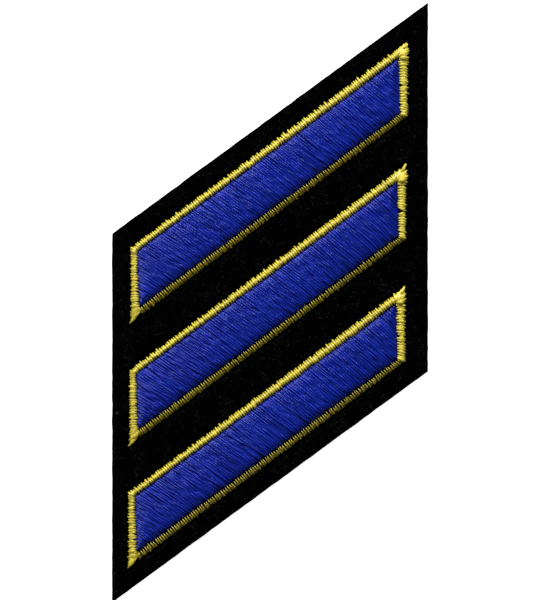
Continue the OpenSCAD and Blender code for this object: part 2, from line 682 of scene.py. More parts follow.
def inner_edge(n, side):
    """Corners of a side's inner edge, and their places along the side."""
    outline, inner = stripe_outlines[n], inner_outlines[n]
    start, along, _, _ = side_frame(outline, side)
    corners = [inner[side], inner[(side + 1) % len(SIDES)]]
    hollow_rise = np.array((0, HOLLOW_RISE[n]))
    if side == RIGHT_END:
        corners[1] = corners[1] + hollow_rise
    if side == UPPER_SIDE:
        corners.insert(1, corners[0] + along * HOLLOW_REACH)
        corners[0] = corners[0] + hollow_rise
    if side == LEFT_END:
        tip, ahead, inward, _ = side_frame(outline, LOWER_SIDE)
        knob = ahead * FIRST_PLACE[LOWER_SIDE] + inward * KNOB_INSET
        corners.append(tip + knob)
    corners = np.array(corners)
    return corners, (corners - start) @ along


for side in SIDES:
    side_length = side_frame(stripe_outlines[1], side)[3]
    print("side", side, "has", len(outer_places(side, side_length)), "stitches")

# %% [markdown]
# ## Gold stitches: where they part
#
# The border isn't sewn in one go. Where the maker stopped and started again
# the stitches part a little, and a small dark wedge opens at one edge. These
# places differ from stripe to stripe, so a table lists them. An opening below
# zero draws the stitches together instead.

# %% Ends of the stitches
# Columns: stripe, side, place along it, opening at the outer and inner edge
JOINS = (
    (1, RIGHT_END, 5.1, 0.0, 0.45),
    (1, RIGHT_END, 7.9, 0.3, 0.0),
    (1, RIGHT_END, 9.5, 0.25, 0.0),
    (1, LEFT_END, 5.2, 0.15, 0.1),
    (1, LEFT_END, 7.0, 0.1, 0.2),
    (2, RIGHT_END, 4.5, -0.22, 1.0),
    (2, RIGHT_END, 8.4, 0.2, 0.0),
    (2, LEFT_END, 1.5, 0.2, 0.0),
    (2, LEFT_END, 7.9, 0.15, 0.1),
    (3, RIGHT_END, 4.1, 0.15, 0.3),
    (3, RIGHT_END, 9.3, 0.35, 0.0),
    (3, LEFT_END, 3.2, 0.15, 0.15),
    (3, LEFT_END, 7.6, 0.2, 0.2),
)
PLACE, OUTER_OPENING, INNER_OPENING = 2, 3, 4
JOIN_REACH = 0.7
# How far the ends stray by chance, in twos and threes, and in slow waves. A
# row of waves gives the shortest, the longest and sometimes their number.
CHANCE, PAIRING, SWAYING = 0.02, 0.015, 0.03
PAIR_WAVES = (0.85, 1.2, 6)
SWAY_WAVES = (1.3, 3)


def part_at_joins(n, side, places, column):
    """Moves places away from the joins by the openings in one column."""
    moved = places.copy()
    for join in JOINS:
        if join[:2] == (n, side):
            away = places - join[PLACE]
            opening = join[column] / 2
            near = nearness(np.abs(away), JOIN_REACH)
            moved += opening * np.sign(away) * near
    return moved


def stitch_ends(n, side, rng):
    """Outer and inner ends of one side's stitches, and their places."""
    start, along, _, length = side_frame(stripe_outlines[n], side)
    corners, corner_places = inner_edge(n, side)
    at = outer_places(side, length)
    first = FIRST_PLACE[side]
    (push_on, reach_on), (push_back, reach_back) = PUSHES[side]
    outer_at = at + CHANCE * rng.normal(size=len(at))
    outer_at = outer_at + PAIRING * wander(rng, at, *PAIR_WAVES)
    inner_at = (
        outer_at + SWAYING * wander(rng, at, *SWAY_WAVES)
        + push_on(at - first, corner_places[0] - first, reach_on)
        - push_back(length - at, length - corner_places[-1], reach_back)
    )
    outer_at = part_at_joins(n, side, outer_at, OUTER_OPENING)
    inner_at = part_at_joins(n, side, inner_at, INNER_OPENING)
    outer_end = start + along * outer_at[:, None]
    inner_end = np.stack(
        [np.interp(inner_at, corner_places, axis) for axis in corners.T],
        axis=-1,
    )
    return outer_end, inner_end, at


print("joins on the three stripes:", len(JOINS))

# %% [markdown]
# ## Gold stitches: the arch of each one
#
# Seen from its side a stitch is a lopsided arch: up out of the felt, in a long
# slope to a ridge, and down in a short round. The ridge lies nearer the inner
# edge along the lower side and the left end, and near the middle along the
# other two. The slope is nearly straight on the lower side, which falls away
# from the light, and rounder on the others.

# %% Shape of an arch
# Heights over the felt at the outer edge, the ridge and the inner edge
OUTER_LEVEL = 0.05
RIDGE_LEVEL = 0.66
INNER_LEVEL = 0.2
# Place of the ridge as a share of the way in, at a side's start and end
RIDGE_PLACES = {
    LOWER_SIDE: (0.7, 0.8),
    RIGHT_END: (0.56, 0.52),
    UPPER_SIDE: (0.59, 0.59),
    LEFT_END: (0.65, 0.75),
}
# How round the slope up to the ridge is: 1 is a straight slope
SLOPE_BULGE = {
    LOWER_SIDE: 1.35, RIGHT_END: 2.6, UPPER_SIDE: 2.1, LEFT_END: 1.7
}
# How much rounder it is for each millimetre that a stitch is longer than usual
LONG_BULGE = {
    LOWER_SIDE: 1.5, RIGHT_END: -0.2, UPPER_SIDE: -0.4, LEFT_END: 1.0
}
USUAL_LENGTH = 1.3
NEEDLE_DEPTH = 0.4
GOLD_HALF_HEIGHT = {
    LOWER_SIDE: 0.105, RIGHT_END: 0.065, UPPER_SIDE: 0.12, LEFT_END: 0.065
}
# Points of the arch, as shares of the way in
ARCH_SHARES = np.array(
    (0, 0.07, 0.2, 0.38, 0.56, 0.72, 0.84, 0.91, 0.96, 0.99, 1)
)


def border_height(share, place, bulge, lift=1.0):
    """Height of the border over the felt, from its outer to its inner edge."""
    ridge = RIDGE_LEVEL * lift
    to_go = np.clip(1 - share / place, 0, 1)
    past = np.clip((share - place) / (1 - place), 0, 1)
    climb = OUTER_LEVEL + (ridge - OUTER_LEVEL) * (1 - to_go**bulge)
    fall = (ridge - INNER_LEVEL) * (1 - np.sqrt(1 - past**2))
    return climb - fall


def with_height(flat, height):
    """Flat points with a height for each, as points in space."""
    return np.concatenate([flat, height[..., None]], axis=-1)


def stitch_paths(outer_end, inner_end, side, place, lift, drops=(0, 0)):
    """Arched paths from the outer to the inner end of each stitch.

    drops are how far they lie under the border's surface at their outer and
    their inner end.
    """
    span = inner_end - outer_end
    flat = outer_end[:, None] + span[:, None] * ARCH_SHARES[:, None]
    longer = np.maximum(np.linalg.norm(span, axis=1) - USUAL_LENGTH, 0)
    bulge = SLOPE_BULGE[side] + LONG_BULGE[side] * longer
    height = border_height(
        ARCH_SHARES, place[:, None], bulge[:, None], lift[:, None]
    )
    height = FELT_TOP + height - GOLD_HALF_HEIGHT[side]
    height = height - drops[0] - (drops[1] - drops[0]) * ARCH_SHARES
    paths = with_height(flat, height)
    down_out, down_in = paths[:, :1].copy(), paths[:, -1:].copy()
    down_out[..., 2] = down_in[..., 2] = FELT_TOP - NEEDLE_DEPTH
    return np.concatenate([down_out, paths, down_in], axis=1)


print("arch on the lower side:", border_height(
    ARCH_SHARES, RIDGE_PLACES[LOWER_SIDE][0], SLOPE_BULGE[LOWER_SIDE]
).round(2).tolist())

# %% [markdown]
# ## Gold stitches: ribbons, threads and ragged ends
#
# On the two ends of a stripe the stitches are broad and flat, like ribbons
# side by side. On the long sides they are rounder. No two of them end on one
# line: the outer ends are ragged, on the two ends of a stripe every second
# stitch is a little shorter, and near the tips that makes teeth.

# %% Breadth and outer ends of the stitches
GOLD_HALF_WIDTH = 0.15
# Width of a stitch as a share of the thread's, at places along it: where it
# leaves the felt, at its broadest, near the ridge, and at its inner end
TAPER_PLACES = (0, 0.4, 0.8, 1)
TAPER = {
    LOWER_SIDE: (1.0, 1.02, 0.48, 0.2),
    RIGHT_END: (0.55, 1.85, 1.2, 0.8),
    UPPER_SIDE: (0.85, 1.4, 1.0, 0.8),
    LEFT_END: (0.6, 1.85, 1.2, 0.8),
}
# How ragged the outer ends are on each side, what shares pairing, slow waves
# and chance have in that, and how far the inner ends stray
TUFT_SIZES = {
    LOWER_SIDE: 0.045, RIGHT_END: 0.06, UPPER_SIDE: 0.07, LEFT_END: 0.05
}
TUFT_WAVES = (1.8, 4)
TUFT_SHARES = (1, 0.5, 0.5)
TUCK_NOISE = 0.05
# How much shorter every second stitch is at its outer end
SECOND_SHORTER = {
    LOWER_SIDE: 0.0, RIGHT_END: 0.04, UPPER_SIDE: 0.0, LEFT_END: 0.05
}
# And how much shorter still near the tip
TIP_TEETH = {
    LOWER_SIDE: 0.0, RIGHT_END: 0.12, UPPER_SIDE: 0.16, LEFT_END: 0.08
}
TEETH_REACH = 3.5


def tapered_width(taper):
    """Half the width of a stitch at each point of its path."""
    places = (0, *ARCH_SHARES, 1)
    return GOLD_HALF_WIDTH * np.interp(places, TAPER_PLACES, taper)


def ragged_ends(side, at, from_tip, rng):
    """How far the outer ends reach out, or stop short if below zero."""
    pairing, waving, chance = TUFT_SHARES
    tufts = pairing * wander(rng, at, *PAIR_WAVES)
    tufts = tufts + waving * wander(rng, at, *TUFT_WAVES)
    tufts = tufts + chance * rng.normal(size=len(at))
    teeth = TIP_TEETH[side] * nearness(from_tip, TEETH_REACH)
    second = np.arange(len(at)) % 2
    return TUFT_SIZES[side] * tufts - second * (SECOND_SHORTER[side] + teeth)


print("widest gold stitch:", 2 * tapered_width(TAPER[LEFT_END]).max(), "mm")

# %% [markdown]
# ## Gold stitches: the two tips
# The fan of the upper right tip stays a little short of the tip and bulges out
# of the right end below it. It lies low at the tip and rises down to a seam on
# the right end, where it ends, so the fan faces the light and the seam lies in
# shadow. The thread of the fan and of the right end is painted lighter than the
# rest: painted light, standing in for more light falling on them. At the lower
# left tip the stitches sink and reach out into a point.

# %% Ridge, width and reach near the tips
# How much higher the ridge is at a tip, how much nearer it is to the inner
# edge in the fan, how much broader a stitch is, and the reach of all three
FAN_LIFT = {LOWER_SIDE: 0, RIGHT_END: -0.3, UPPER_SIDE: -0.12, LEFT_END: 0}
FAN_PLACE = 0.3
TIP_BREADTH = {
    LOWER_SIDE: 0.0, RIGHT_END: 0.5, UPPER_SIDE: 0.4, LEFT_END: 0.05
}
FAN_SIZE = 1.6
# Distance of the seam from the tip, and how much the fan rises on the way
SEAM = 2.6
SEAM_RISE = 0.55
# How far the fan of each stripe stays short of the tip, and the square of the
# distance at which that fades
TIP_CUT = {1: 0.25, 2: 0.8, 3: 0.4}
CUT_REACH = 0.8
# How far the fan bulges out of the right end, where, and the square of the
# distance at which that fades
FAN_BULGE = {1: 0.2, 2: 0.36, 3: 0.05}
BULGE_PLACE = 2.2
BULGE_REACH = 1.5
# Painted light: how much is added to the tint of the right end and of the fan,
# which makes their colour lighter
RIGHT_END_PAINTED_LIGHT = 0.35
FAN_PAINTED_LIGHT = 0.4
# How much the stitches sink at the lower left tip and reach out there, and
# over which lengths
KNOB_SINK, SINK_REACH = 0.25, 1.2
KNOB_POINT, POINT_REACH = 0.2, 0.5
# How much the heights of neighbours differ, in slow waves and by chance
LIFT_WAVE = 0.04
LIFT_WAVES = (1.2, 3)
LIFT_NOISE = {
    LOWER_SIDE: 0.05, RIGHT_END: 0.02, UPPER_SIDE: 0.03, LEFT_END: 0.02
}


def ridge_lifts(side, at, from_tip, rng):
    """Height of each stitch's ridge as a share of the usual one."""
    lift = 1 + LIFT_WAVE * wander(rng, at, *LIFT_WAVES)
    lift = lift + LIFT_NOISE[side] * rng.normal(size=len(at))
    lift = lift + FAN_LIFT[side] * nearness(from_tip, FAN_SIZE)
    if side == LEFT_END:
        lift = lift - KNOB_SINK * nearness(from_tip, SINK_REACH)
    if side == RIGHT_END:
        climb = np.where(from_tip < SEAM, from_tip / SEAM, 0)
        lift = lift + SEAM_RISE * climb
    return lift


def tip_reach(n, side, from_tip):
    """How much further the outer ends reach out near the tips."""
    if side == LEFT_END:
        return KNOB_POINT * nearness(from_tip, POINT_REACH)
    if side == RIGHT_END:
        from_bulge = from_tip - BULGE_PLACE
        return FAN_BULGE[n] * nearness(from_bulge**2, BULGE_REACH)
    return 0


at_seam = 1 + SEAM_RISE + FAN_LIFT[RIGHT_END] * nearness(SEAM, FAN_SIZE)
print("the seam rises over the felt to", round(RIDGE_LEVEL * at_seam, 2), "mm")

# %% [markdown]
# ## Gold stitches: a side of them
#
# Now the stitches of one side can be laid. A second layer, a little lower,
# fills the valleys between them, as the thread's way back does on the real
# patch. On the lower side the valleys are too deep for it to show.

# %% Stitches of one side
# Distance of the stitches' outer and inner ends in from the border's edges
END_INSETS = {
    LOWER_SIDE: (0.12, 0.2),
    RIGHT_END: (-0.08, 0.04),
    UPPER_SIDE: (0.16, 0.0),
    LEFT_END: (0.02, 0.0),
}
# How much further in the right end's outer edge lies on each stripe
RIGHT_INSETS = {1: 0.0, 2: 0.1, 3: 0.0}
# Where the stitches in the valleys start and end, as shares of the way across
VALLEY_SHARES = {
    RIGHT_END: (0.15, 0.25),
    UPPER_SIDE: (0.3, 0.25),
    LEFT_END: (0.15, 0.25),
}
# How far they lie under the others, at their outer and inner end
VALLEY_DROPS = {
    RIGHT_END: (0.06, 0.15), UPPER_SIDE: (0.08, 0.2), LEFT_END: (0.06, 0.15)
}
# Stitches whose neighbours part by more than this have none in the valley
WIDEST_VALLEY = 0.9
TOP_THREAD = {"sides": 10, "turn": 1.1, "lobe": 0.06}
VALLEY_THREAD = {"sides": 6, "turn": 1.1, "lobe": 0.05}


def valley_strands(side, outer_end, inner_end, cut, shape, rng):
    """Stitches between each one and the next; shape is as in side_strands."""
    place, lift, half_width = shape
    parted = np.maximum(*(
        np.linalg.norm(np.diff(end, axis=0), axis=1)
        for end in (outer_end, inner_end)
    ))
    close = np.flatnonzero(parted < WIDEST_VALLEY)
    outer_end = (outer_end[close] + outer_end[close + 1]) / 2 - cut[close]
    inner_end = (inner_end[close] + inner_end[close + 1]) / 2
    span = inner_end - outer_end
    outer_share, inner_share = VALLEY_SHARES[side]
    paths = stitch_paths(
        outer_end + span * outer_share, inner_end - span * inner_share,
        side, place[close], lift[close], VALLEY_DROPS[side]
    )
    return lay_strands(
        paths, half_width[close], GOLD_HALF_HEIGHT[side], rng=rng,
        **VALLEY_THREAD
    )


def side_strands(n, side, rng):
    """The stitches of one side: those on top and those in the valleys."""
    outer_end, inner_end, at = stitch_ends(n, side, rng)
    _, _, inward, length = side_frame(stripe_outlines[n], side)
    from_tip = at if side in (LOWER_SIDE, UPPER_SIDE) else length - at
    in_fan = nearness(from_tip, FAN_SIZE) * (side in (RIGHT_END, UPPER_SIDE))
    outer_inset, inner_inset = END_INSETS[side]
    if side == RIGHT_END:
        outer_inset += RIGHT_INSETS[n]
    outer_end = outer_end + inward * outer_inset
    ahead = unit(outer_end - inner_end)

    reach = ragged_ends(side, at, from_tip, rng) + tip_reach(n, side, from_tip)
    cut = TIP_CUT[n] * nearness(from_tip**2, CUT_REACH) * (in_fan > 0)
    tuck = TUCK_NOISE * rng.normal(size=len(at)) - inner_inset
    place = np.interp(at / length, (0, 1), RIDGE_PLACES[side])
    place = place + FAN_PLACE * in_fan
    lift = ridge_lifts(side, at, from_tip, rng)
    broader = 1 + TIP_BREADTH[side] * nearness(from_tip, FAN_SIZE)
    half_width = tapered_width(TAPER[side]) * broader[:, None]
    paths = stitch_paths(
        outer_end + ahead * (reach - cut)[:, None],
        inner_end - ahead * tuck[:, None], side, place, lift
    )
    top = lay_strands(
        paths, half_width, GOLD_HALF_HEIGHT[side], rng=rng, **TOP_THREAD
    )
    # Painted light: the tint of the right end and of the fan is raised, so
    # their colour comes out lighter
    painted_light = RIGHT_END_PAINTED_LIGHT * (side == RIGHT_END) + FAN_PAINTED_LIGHT * in_fan
    top[2][:, TINT] += np.repeat(painted_light, len(top[2]) // len(painted_light))
    if side not in VALLEY_SHARES:
        return [top]
    return [top, valley_strands(
        side, outer_end, inner_end, ahead * cut[:, None],
        (place, lift, half_width), rng
    )]


layers = side_strands(1, UPPER_SIDE, np.random.default_rng(0))
print("points of the two layers on the upper side:", [
    len(points) for points, _, _ in layers
])

# %% [markdown]
# ## Gold borders
#
# The four sides of a stripe are joined into one mesh. One more stitch lies on
# top of the fan and points into the upper right tip. On the middle stripe it
# stands out alone, because the fan stays short of the tip there.

# %% Gold borders
# How far the pointing stitch stays short of the tip on each stripe, and how
# far from the hollow it starts
POINT_CUT = {1: 0.5, 2: 0.15, 3: 0.15}
POINT_START = 1.3
POINT_RIDGE, POINT_LIFT, POINT_DROPS = 0.6, 0.9, (-0.03, 0.1)
POINT_TAPER = (1.05, 1.6, 1.4, 1.3)
POINT_HALF_HEIGHT = 0.12


def tip_stitch(n, rng):
    """The one stitch that points into the upper right tip."""
    hollow, tip = inner_outlines[n][UPPER_SIDE], stripe_outlines[n][UPPER_SIDE]
    ahead = unit(tip - hollow)
    paths = stitch_paths(
        (tip - POINT_CUT[n] * ahead)[None],
        (hollow + POINT_START * ahead)[None], LEFT_END,
        np.array([POINT_RIDGE]), np.array([POINT_LIFT]), POINT_DROPS
    )
    return lay_strands(
        paths, tapered_width(POINT_TAPER), POINT_HALF_HEIGHT, rng=rng,
        **TOP_THREAD
    )


gold_borders = []
for n in STRIPES:
    parts = []
    for side in SIDES:
        rng = np.random.default_rng([n, side])
        parts += side_strands(n, side, rng)
    parts.append(tip_stitch(n, rng))
    points, faces, strand = join_parts(parts)
    gold_borders.append(
        new_piece(f"gold_border_{n}", points, faces, gold_thread, strand)
    )

# %% [markdown]
# ## Shape of the blue field
#
# The blue satin is nearly flat on top and rolls down along its edges, where
# the padding ends and the border begins. This is the same form as the CAD
# solid has, from the same numbers: a very large round for the crown and a
# small one for the rolled edges.

# %% Height of the field over the felt
FILL_CROWN = 0.8
FILL_EDGE = 0.15
CROWN_RADIUS = 22
ROLL_BREADTH = 1.6
ROLL_RADIUS = 3
# How far the roll goes on outside the field's edge
ROLL_OVERHANG = 0.3
LEVEL = np.array((math.cos(STRIPE_SLANT), math.sin(STRIPE_SLANT)))
PLUMB = np.array((-LEVEL[1], LEVEL[0]))


def rolled_edge(distance):
    """Height of the roll at a distance in from the field's edge."""
    rise = FILL_CROWN - FILL_EDGE
    chord = math.hypot(ROLL_BREADTH, rise)
    to_centre = math.sqrt(ROLL_RADIUS**2 - chord**2 / 4)
    back = ROLL_BREADTH / 2 + to_centre * rise / chord
    down = to_centre * ROLL_BREADTH / chord - rise / 2
    away = back - np.clip(distance, -ROLL_OVERHANG, back)
    return FILL_EDGE - down + np.sqrt(ROLL_RADIUS**2 - away**2)


def field_height(points, inner):
    """Height of the field's surface over the felt at flat points."""
    up = (points - inner.mean(axis=0)) @ PLUMB
    height = FILL_CROWN - CROWN_RADIUS + np.sqrt(CROWN_RADIUS**2 - up**2)
    for side in SIDES:
        start, _, inward, _ = side_frame(inner, side)
        height = np.minimum(height, rolled_edge((points - start) @ inward))
    return height


middle = inner_outlines[1].mean(axis=0)
print("field over the felt:", field_height(middle, inner_outlines[1]), "mm")

# %% [markdown]
# ## Blue stitches: the lines they follow
#
# The field's threads run from one long edge to the other. They don't lie
# square to the stripe: they lean by 21 degrees at the left end and by 9 at the
# right end. They wave gently, close up into groups of a few with a dark groove
# between, and here and there one strand strays across its neighbours. So each
# thread starts as a straight line, and the field's outline cuts it off.

# %% Lines across the field
BLUE_PITCH = 0.4
LEAN_LEFT, LEAN_RIGHT = 21, 9
# How much the lean changes in slow waves and by chance, in degrees
LEAN_WAVE, LEAN_WAVES, LEAN_CHANCE = 0.8, (2, 9), 0.3
# Share of threads that stray, and by how many degrees at most
STRAY_SHARE, STRAY_LEAN = 0.03, 8
# How far threads move to close up into groups
GROUPING, GROUP_WAVES = 0.035, (1, 2.4)
TUCK_UNDER = 0.2
SHORTEST_THREAD = 0.7
# How far beyond the field's corners lines are tried, and their length at first
LINES_BEYOND = 2
ENDLESS = 1000


def clip_lines(corners, start, heading, grow):
    """Stretch of each line that lies inside the corners, grown a little."""
    low, high = np.full(len(start), -ENDLESS), np.full(len(start), ENDLESS)
    for side in SIDES:
        first, _, inward, _ = side_frame(corners, side)
        room = (start - first) @ inward + grow
        gain = heading @ inward
        limit = -room / gain
        low = np.where(gain > 0, np.maximum(low, limit), low)
        high = np.where(gain < 0, np.minimum(high, limit), high)
    return low, high


def field_lines(inner, rng, offset, less_lean, wildness):
    """Start, heading, both ends, place, share along and strays of a layer."""
    centre = inner.mean(axis=0)
    reach = np.abs((inner - centre) @ LEVEL).max() + LINES_BEYOND
    at = np.arange(-reach, reach, BLUE_PITCH) + offset * BLUE_PITCH
    share = (at + reach) / (2 * reach)
    lean = LEAN_LEFT + (LEAN_RIGHT - LEAN_LEFT) * share - less_lean
    uneven = LEAN_WAVE * wander(rng, at, *LEAN_WAVES)
    uneven = uneven + LEAN_CHANCE * rng.normal(size=len(at))
    lean = lean + wildness * uneven
    stray = rng.uniform(size=len(at)) < STRAY_SHARE * wildness
    astray = rng.uniform(-STRAY_LEAN, STRAY_LEAN, len(at))
    lean = lean + np.where(stray, astray, 0)
    at = at + GROUPING * wander(rng, at, *GROUP_WAVES)
    start = centre + LEVEL * at[:, None]
    heading = PLUMB - LEVEL * np.tan(np.radians(lean))[:, None]
    low, high = clip_lines(inner, start, heading, TUCK_UNDER)
    keep = high - low > SHORTEST_THREAD
    return [
        values[keep] for values in (start, heading, low, high, at, share, stray)
    ]


rng = np.random.default_rng(0)
lines = field_lines(inner_outlines[1], rng, 0, 0, 1)
print("lines in one layer of stripe 1:", len(lines[0]))

# %% [markdown]
# ## Blue stitches: how they rise and fall
#
# Each thread bows sideways and rises and falls on its way, partly with its
# neighbours and partly by itself, and that breaks its highlight into short
# strokes. A second layer, half a pitch further on and with less lean, fills
# the valleys, as the thread's way back does on the real patch.

# %% Threads across the field
BLUE_HALF_WIDTH = 0.14
BLUE_HALF_HEIGHT = 0.12
# How much closer the points of a path lie in its middle and at its ends
EASE = 0.12
# Bow of a whole thread
BOW, BOW_WAVES = 0.03, (3, 12)
# Waves along a thread, first those that it shares with its neighbours. Columns:
# size, stretch along the thread, shortest, longest and number of waves.
SIDEWAYS = ((0.025, 0.4, 0.8, 3, 24), (0.025, 0.4, 0.8, 2, 24))
UP_AND_DOWN = ((0.035, 0.45, 0.7, 1.4, 40), (0.038, 0.45, 0.6, 1.4, 40))
STRAY_RISE = 0.07
# The layer on top and the one in the valleys: offset as a share of the pitch,
# degrees of lean less, how uneven the threads are, how far they lie under the
# top at the left and the right end of a stripe, and the points on each path
TOP_LAYER = (0.0, 0, 1), (0, 0), 24
VALLEY_LAYER = (0.5, 1.5, 0.4), (0.03, 0.085), 16
TOP_SIDES, VALLEY_SIDES = 8, 6
VALLEY_WIDTH = 1.35
SATIN_SEED = 10


def waves_along(rng, rows, places, way):
    """Sum of shared and own waves along each thread."""
    return sum(
        size * ripple(rng, place, stretch * way, *lengths)
        for (size, stretch, *lengths), place in zip(rows, places)
    )


def field_paths(inner, rng, kind, drops, points_each):
    """Paths of one layer of threads over the field."""
    wildness = kind[-1]
    start, heading, low, high, at, share, stray = field_lines(inner, rng, *kind)
    drop = np.interp(share[:, None], (0, 1), drops)
    gone = np.linspace(0, 1, points_each)
    gone = gone - EASE * np.sin(4 * np.pi * gone) / (2 * np.pi)
    way = high[:, None] + (low - high)[:, None] * gone
    flat = start[:, None] + heading[:, None] * way[..., None]
    bow = BOW * wander(rng, at, *BOW_WAVES)[:, None] * np.sin(np.pi * gone)
    own = rng.uniform(0, 99, len(at))
    places = [place[:, None] * np.ones_like(way) for place in (at, own)]
    bow = bow + waves_along(rng, SIDEWAYS, places, way)
    flat = flat + LEVEL * (wildness * bow)[..., None]
    rise = wildness * waves_along(rng, UP_AND_DOWN, places, way)
    height = field_height(flat, inner) - BLUE_HALF_HEIGHT - drop + rise
    height = height + np.where(stray, STRAY_RISE, 0)[:, None]
    height[:, 0] = height[:, -1] = -NEEDLE_DEPTH / 2
    return with_height(flat, FELT_TOP + height)


blue_satins = []
for n in STRIPES:
    rng = np.random.default_rng([n, SATIN_SEED])
    top = field_paths(inner_outlines[n], rng, *TOP_LAYER)
    valley = field_paths(inner_outlines[n], rng, *VALLEY_LAYER)
    wider = VALLEY_WIDTH * BLUE_HALF_WIDTH
    points, faces, strand = join_parts([
        lay_strands(top, BLUE_HALF_WIDTH, BLUE_HALF_HEIGHT, TOP_SIDES, rng),
        lay_strands(valley, wider, BLUE_HALF_HEIGHT, VALLEY_SIDES, rng),
    ])
    blue_satins.append(
        new_piece(f"blue_satin_{n}", points, faces, blue_thread, strand)
    )

# %% [markdown]
# ## Blue padding
#
# Rows of long running stitches lie lengthwise under the satin and give it its
# height. Only a glimpse of them shows between two threads, so they are one
# closed mesh: a surface with a soft ridge for each row, and a flat underside.

# %% Padding under the satin
PADDING_ROWS = 14
POINTS_A_ROW = 4
PADDING_STEP = 0.5
# How far the padding lies under the satin's surface, how high its rows stand,
# how lumpy it is, and how thick it is at its edge
PADDING_DEPTH = 0.42
ROW_HEIGHT = 0.06
PADDING_LUMPS, PADDING_WAVES = 0.02, (1.5, 6)
PADDING_FOOT = 0.1
PADDING_SEED = 20


def closed_sheet(top, bottom):
    """Closes two equal grids of points, one over the other, into one mesh."""
    rows, columns = top.shape[:2]
    index = np.arange(rows * columns).reshape(rows, columns)
    over = np.stack(
        [index[:-1, :-1], index[1:, :-1], index[1:, 1:], index[:-1, 1:]],
        axis=-1,
    ).reshape(-1, 4)
    rim = np.concatenate(
        [index[:-1, 0], index[-1, :-1], index[:0:-1, -1], index[0, :0:-1]]
    )
    ahead = np.roll(rim, -1)
    under = over[:, ::-1] + index.size
    wall = np.stack([ahead, rim, rim + index.size, ahead + index.size], axis=-1)
    points = np.concatenate([top.reshape(-1, 3), bottom.reshape(-1, 3)])
    return points, [over, under, wall]


def padding_grid(inner, rng):
    """Points of the padding's upper surface, a row of them for each step."""
    length = np.linalg.norm(inner[1] - inner[0])
    s = np.linspace(0, 1, round(length / PADDING_STEP) + 1)[:, None]
    t = np.linspace(0, 1, POINTS_A_ROW * PADDING_ROWS + 1)[None, :]
    lower = inner[0] + (inner[1] - inner[0]) * s[..., None]
    upper = inner[3] + (inner[2] - inner[3]) * s[..., None]
    flat = lower + (upper - lower) * t[..., None]
    ridge = np.abs(np.sin(np.pi * PADDING_ROWS * t))
    lumps = ripple(rng, flat[..., 0], flat[..., 1], *PADDING_WAVES)
    height = field_height(flat, inner) - PADDING_DEPTH + ROW_HEIGHT * ridge
    height = height + PADDING_LUMPS * lumps
    height = np.maximum(height, -NEEDLE_DEPTH / 2)
    strand = np.empty((*flat.shape[:2], 3))
    strand[..., AROUND] = (PADDING_ROWS * t) % 1
    strand[..., ALONG] = s * length
    strand[..., TINT] = PLAIN_STRAND[TINT]
    return with_height(flat, FELT_TOP + height), strand


blue_paddings = []
for n in STRIPES:
    rng = np.random.default_rng([n, PADDING_SEED])
    top, strand = padding_grid(inner_outlines[n], rng)
    bottom = top.copy()
    bottom[..., 2] = FELT_TOP - NEEDLE_DEPTH / 2 - PADDING_FOOT
    points, faces = closed_sheet(top, bottom)
    strand = np.concatenate([strand.reshape(-1, 3)] * 2)
    blue_paddings.append(
        new_piece(f"blue_padding_{n}", points, faces, blue_thread, strand)
    )

# %% [markdown]
# ## Wool felt
#
# Felt has no weave. Wool fibres are matted together in all directions, so the
# surface is finely lumpy, and a cut edge is straight but soft. Stitching draws
# it down under and close beside each stripe. A closed grid with a low relief
# gives the lumps and the dips, and a bumped noise the finest fibres.

# %% Felt material
FELT_COLOR = (0.0002, 0.0004, 0.0002)
COARSE_SHARE = 0.6
FIBRE_RELIEF = 0.15

wool_felt, tree, shader = new_material("wool felt")
place = add_node(tree, "TexCoord", {}).outputs["Object"]
coarse = noise_node(tree, place, scale=900, detail=4, distortion=1.5)
fine = noise_node(tree, place, scale=5000, detail=3, distortion=3)
fibres = math_node(
    tree, "MULTIPLY_ADD", coarse, COARSE_SHARE,
    math_node(tree, "MULTIPLY", fine, 1 - COARSE_SHARE),
)
bump = add_node(tree, "Bump", {
    "Height": fibres, "Strength": 0.8, "Distance": FIBRE_RELIEF * MM,
})
dye = add_node(tree, "Group", {
    "Color": (*FELT_COLOR, 1), "Patch": 1.5, "Patch spread": 0.8,
}, node_tree=dye_group)
fill_inputs(shader, {
    "Base Color": dye.outputs["Color"],
    "Normal": bump.outputs["Normal"],
    "Roughness": 0.95,
    "Specular IOR Level": 0.01,
})
print("material:", wool_felt.name)

# %% [markdown]
# ## The piece of felt
#
# The grid's columns are upright and its rows slant, as the cut edges do. Its
# rim is rounded over and frays a little. Each stripe lies in a shallow bed
# with a soft shoulder.

# %% Felt mesh
FELT_STEP = 0.45
BED_DEPTH = 0.25
BED_SHOULDER = 0.6
# Size of the lumps and of the fraying, and their waves
RELIEF = 0.022
FRAY_WAVES, FINE_WAVES, BROAD_WAVES = (1, 8), (1, 2.5, 40), (3, 12)
# How far the rim is rounded over, and how far in as a share of a step
RIM_ROUND, RIM_BREADTH = 0.16, 0.9
# Points nearer the edge than this share of a step are the rim itself
RIM_POINTS = 0.1
# How far the surface lies under the solid's, to leave room for the lumps, and
# how far the underside stays off the floor
TOP_ROOM, FLOOR_ROOM = 0.02, 0.01
# Share of the rounding that the underside has
UNDER_ROUND = 0.05
FELT_SEED = 30


def distance_outside(corners, points):
    """How far points lie outside a figure; negative inside it."""
    frames = (side_frame(corners, side) for side in SIDES)
    return np.max([
        -(points - start) @ inward for start, _, inward, _ in frames
    ], axis=0)


def distance_to_stripes(points):
    """How far points lie from the nearest stripe; negative inside one."""
    return np.min([
        distance_outside(stripe_outlines[n], points) for n in STRIPES
    ], axis=0)


def smooth_step(value):
    """0 below 0, 1 above 1, and a smooth rise between."""
    value = np.clip(value, 0, 1)
    return value * value * (3 - 2 * value)


def felt_dip(points):
    """How far the stitching draws the felt down at flat points."""
    away = distance_to_stripes(points)
    return BED_DEPTH * smooth_step((BED_SHOULDER - away) / BED_SHOULDER)


